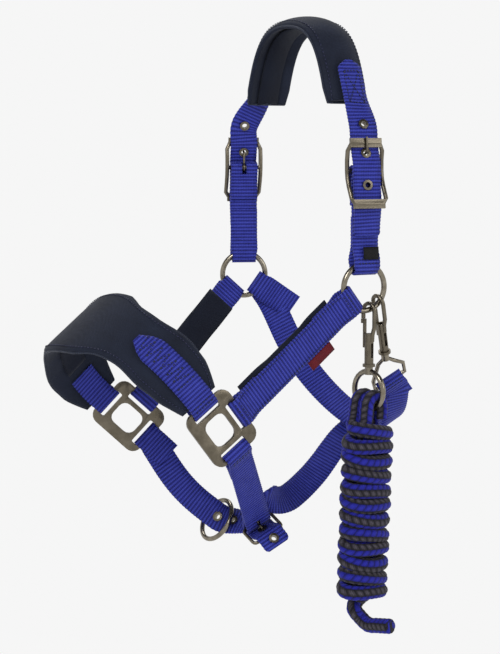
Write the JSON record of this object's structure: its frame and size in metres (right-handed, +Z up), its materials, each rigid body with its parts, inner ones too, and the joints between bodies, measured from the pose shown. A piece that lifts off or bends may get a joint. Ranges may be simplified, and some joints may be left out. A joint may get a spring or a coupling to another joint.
{
  "type": "horse headcollar with lead rope",
  "caption": "Royal blue webbing horse headcollar with padded crown and noseband, clip-on throat strap and a clipped lead rope wound into a hank",
  "frame": {"origin": "where the underside of the crown pad rests on the poll, midway between the cheeks", "axes": "+Z up, nose towards -Y, the horse's left (near) side towards +X"},
  "size_m": [0.2282, 0.33, 0.552],
  "materials": {
    "royal_blue_webbing": "woven",
    "navy_padding": "padded",
    "gunmetal_cast": "satin plated",
    "nickel_wire": "polished nickel",
    "plaited_rope": "plaited",
    "red_label": "woven",
    "black_label": "woven"
  },
  "bodies": {
    "headcollar": {"crown_pad": "navy_padding", "crown_pad_tunnel": "navy_padding", "near_buckle_frame": "gunmetal_cast", "near_crown_strap": "royal_blue_webbing", "near_crown_strap_eyelet_1": "gunmetal_cast", "near_crown_strap_eyelet_2": "gunmetal_cast", "near_crown_strap_eyelet_3": "gunmetal_cast", "near_cheek_chape": "royal_blue_webbing", "near_cheek_strap": "royal_blue_webbing", "near_cheek_lining": "navy_padding", "near_halter_square": "gunmetal_cast", "near_nose_strap": "royal_blue_webbing", "far_buckle_frame": "gunmetal_cast", "far_crown_strap": "royal_blue_webbing", "far_crown_strap_eyelet_1": "gunmetal_cast", "far_crown_strap_eyelet_2": "gunmetal_cast", "far_crown_strap_eyelet_3": "gunmetal_cast", "far_cheek_chape": "royal_blue_webbing", "far_cheek_strap": "royal_blue_webbing", "far_cheek_lining": "navy_padding", "far_halter_square": "gunmetal_cast", "far_nose_strap": "royal_blue_webbing", "nose_pad": "navy_padding", "nose_pad_tunnel": "navy_padding", "near_chin_strap": "royal_blue_webbing", "far_chin_strap": "royal_blue_webbing", "far_chin_strap_eyelet_1": "gunmetal_cast", "far_chin_strap_eyelet_2": "gunmetal_cast", "far_chin_strap_eyelet_3": "gunmetal_cast", "far_chin_strap_eyelet_4": "gunmetal_cast", "chin_buckle_frame": "gunmetal_cast", "throat_link_strap": "royal_blue_webbing", "throat_strap": "royal_blue_webbing", "throat_swivel_eye": "nickel_wire", "side_label": "red_label", "size_label": "black_label"},
    "near_ring": {"near_cheek_ring": "nickel_wire"},
    "near_tongue": {"near_buckle_tongue": "gunmetal_cast"},
    "far_ring": {"far_cheek_ring": "nickel_wire"},
    "far_tongue": {"far_buckle_tongue": "gunmetal_cast"},
    "chin_tongue": {"chin_buckle_tongue": "gunmetal_cast"},
    "chin_ring_body": {"chin_ring": "nickel_wire"},
    "throat_snap": {"throat_snap_body": "gunmetal_cast", "throat_snap_spring": "nickel_wire"},
    "throat_trigger": {"throat_snap_trigger": "gunmetal_cast"},
    "lead_snap": {"lead_snap_body": "gunmetal_cast", "lead_snap_spring": "nickel_wire"},
    "lead_trigger": {"lead_snap_trigger": "gunmetal_cast"},
    "lead_ring": {"lead_swivel_ring": "nickel_wire"},
    "rope": {"lead_rope_bight_front": "plaited_rope", "lead_rope_bight_rear": "plaited_rope", "lead_rope_hank": "plaited_rope", "lead_rope_tail": "plaited_rope"}
  },
  "joints": [
    {"name": "near_ring_turn", "type": "hinge", "parent": "headcollar", "child": "near_ring", "pos_m": [0.09, -0.004, -0.23], "axis": [0.9877, -0.1564, 0], "continuous": true},
    {"name": "far_ring_turn", "type": "hinge", "parent": "headcollar", "child": "far_ring", "pos_m": [-0.09, -0.004, -0.23], "axis": [-0.866, 0.5, 0], "continuous": true},
    {"name": "near_tongue_lift", "type": "hinge", "parent": "headcollar", "child": "near_tongue", "pos_m": [0.08901, -0.00384, -0.128], "axis": [0.309, 0.9511, 0], "range_deg": [0, 3]},
    {"name": "far_tongue_lift", "type": "hinge", "parent": "headcollar", "child": "far_tongue", "pos_m": [-0.08913, -0.0045, -0.128], "axis": [-0.4695, -0.8829, 0], "range_deg": [0, 3]},
    {"name": "chin_tongue_lift", "type": "hinge", "parent": "headcollar", "child": "chin_tongue", "pos_m": [0.027, -0.0745, -0.442], "axis": [0.1601, 0.8733, 0.4602], "range_deg": [0, 3]},
    {"name": "chin_ring_swing", "type": "hinge", "parent": "headcollar", "child": "chin_ring_body", "pos_m": [-0.01481, -0.07712, -0.42993], "axis": [-0.9209, -0.3895, -0.0113], "range_deg": [-4, 8]},
    {"name": "throat_snap_swivel", "type": "hinge", "parent": "headcollar", "child": "throat_snap", "pos_m": [0.08889, 0.01689, -0.26304], "axis": [0.1703, -0.2995, 0.9388], "range_deg": [-8, 8]},
    {"name": "throat_trigger_slide", "type": "slide", "parent": "throat_snap", "child": "throat_trigger", "axis": [-0.1703, 0.2995, -0.9388], "range_m": [0, 0.006], "stiffness_N_per_m": 300, "springref_m": -0.002, "deforming": ["throat_snap_spring"]},
    {"name": "lead_snap_swing", "type": "hinge", "parent": "headcollar", "child": "lead_snap", "pos_m": [0.09088, 0.00158, -0.24971], "axis": [0.1219, -0.9925, 0], "range_deg": [-10, 10]},
    {"name": "lead_trigger_slide", "type": "slide", "parent": "lead_snap", "child": "lead_trigger", "axis": [0, 0, -1], "range_m": [0, 0.006], "stiffness_N_per_m": 300, "springref_m": -0.002, "deforming": ["lead_snap_spring"]},
    {"name": "lead_swivel", "type": "hinge", "parent": "lead_snap", "child": "lead_ring", "pos_m": [0.09088, 0.00158, -0.27086], "axis": [0, 0, 1], "continuous": true},
    {"name": "hank_swing", "type": "hinge", "parent": "lead_ring", "child": "rope", "pos_m": [0.09088, 0.00158, -0.33846], "axis": [0.9925, 0.1219, 0], "range_deg": [-20, 20]}
  ]
}
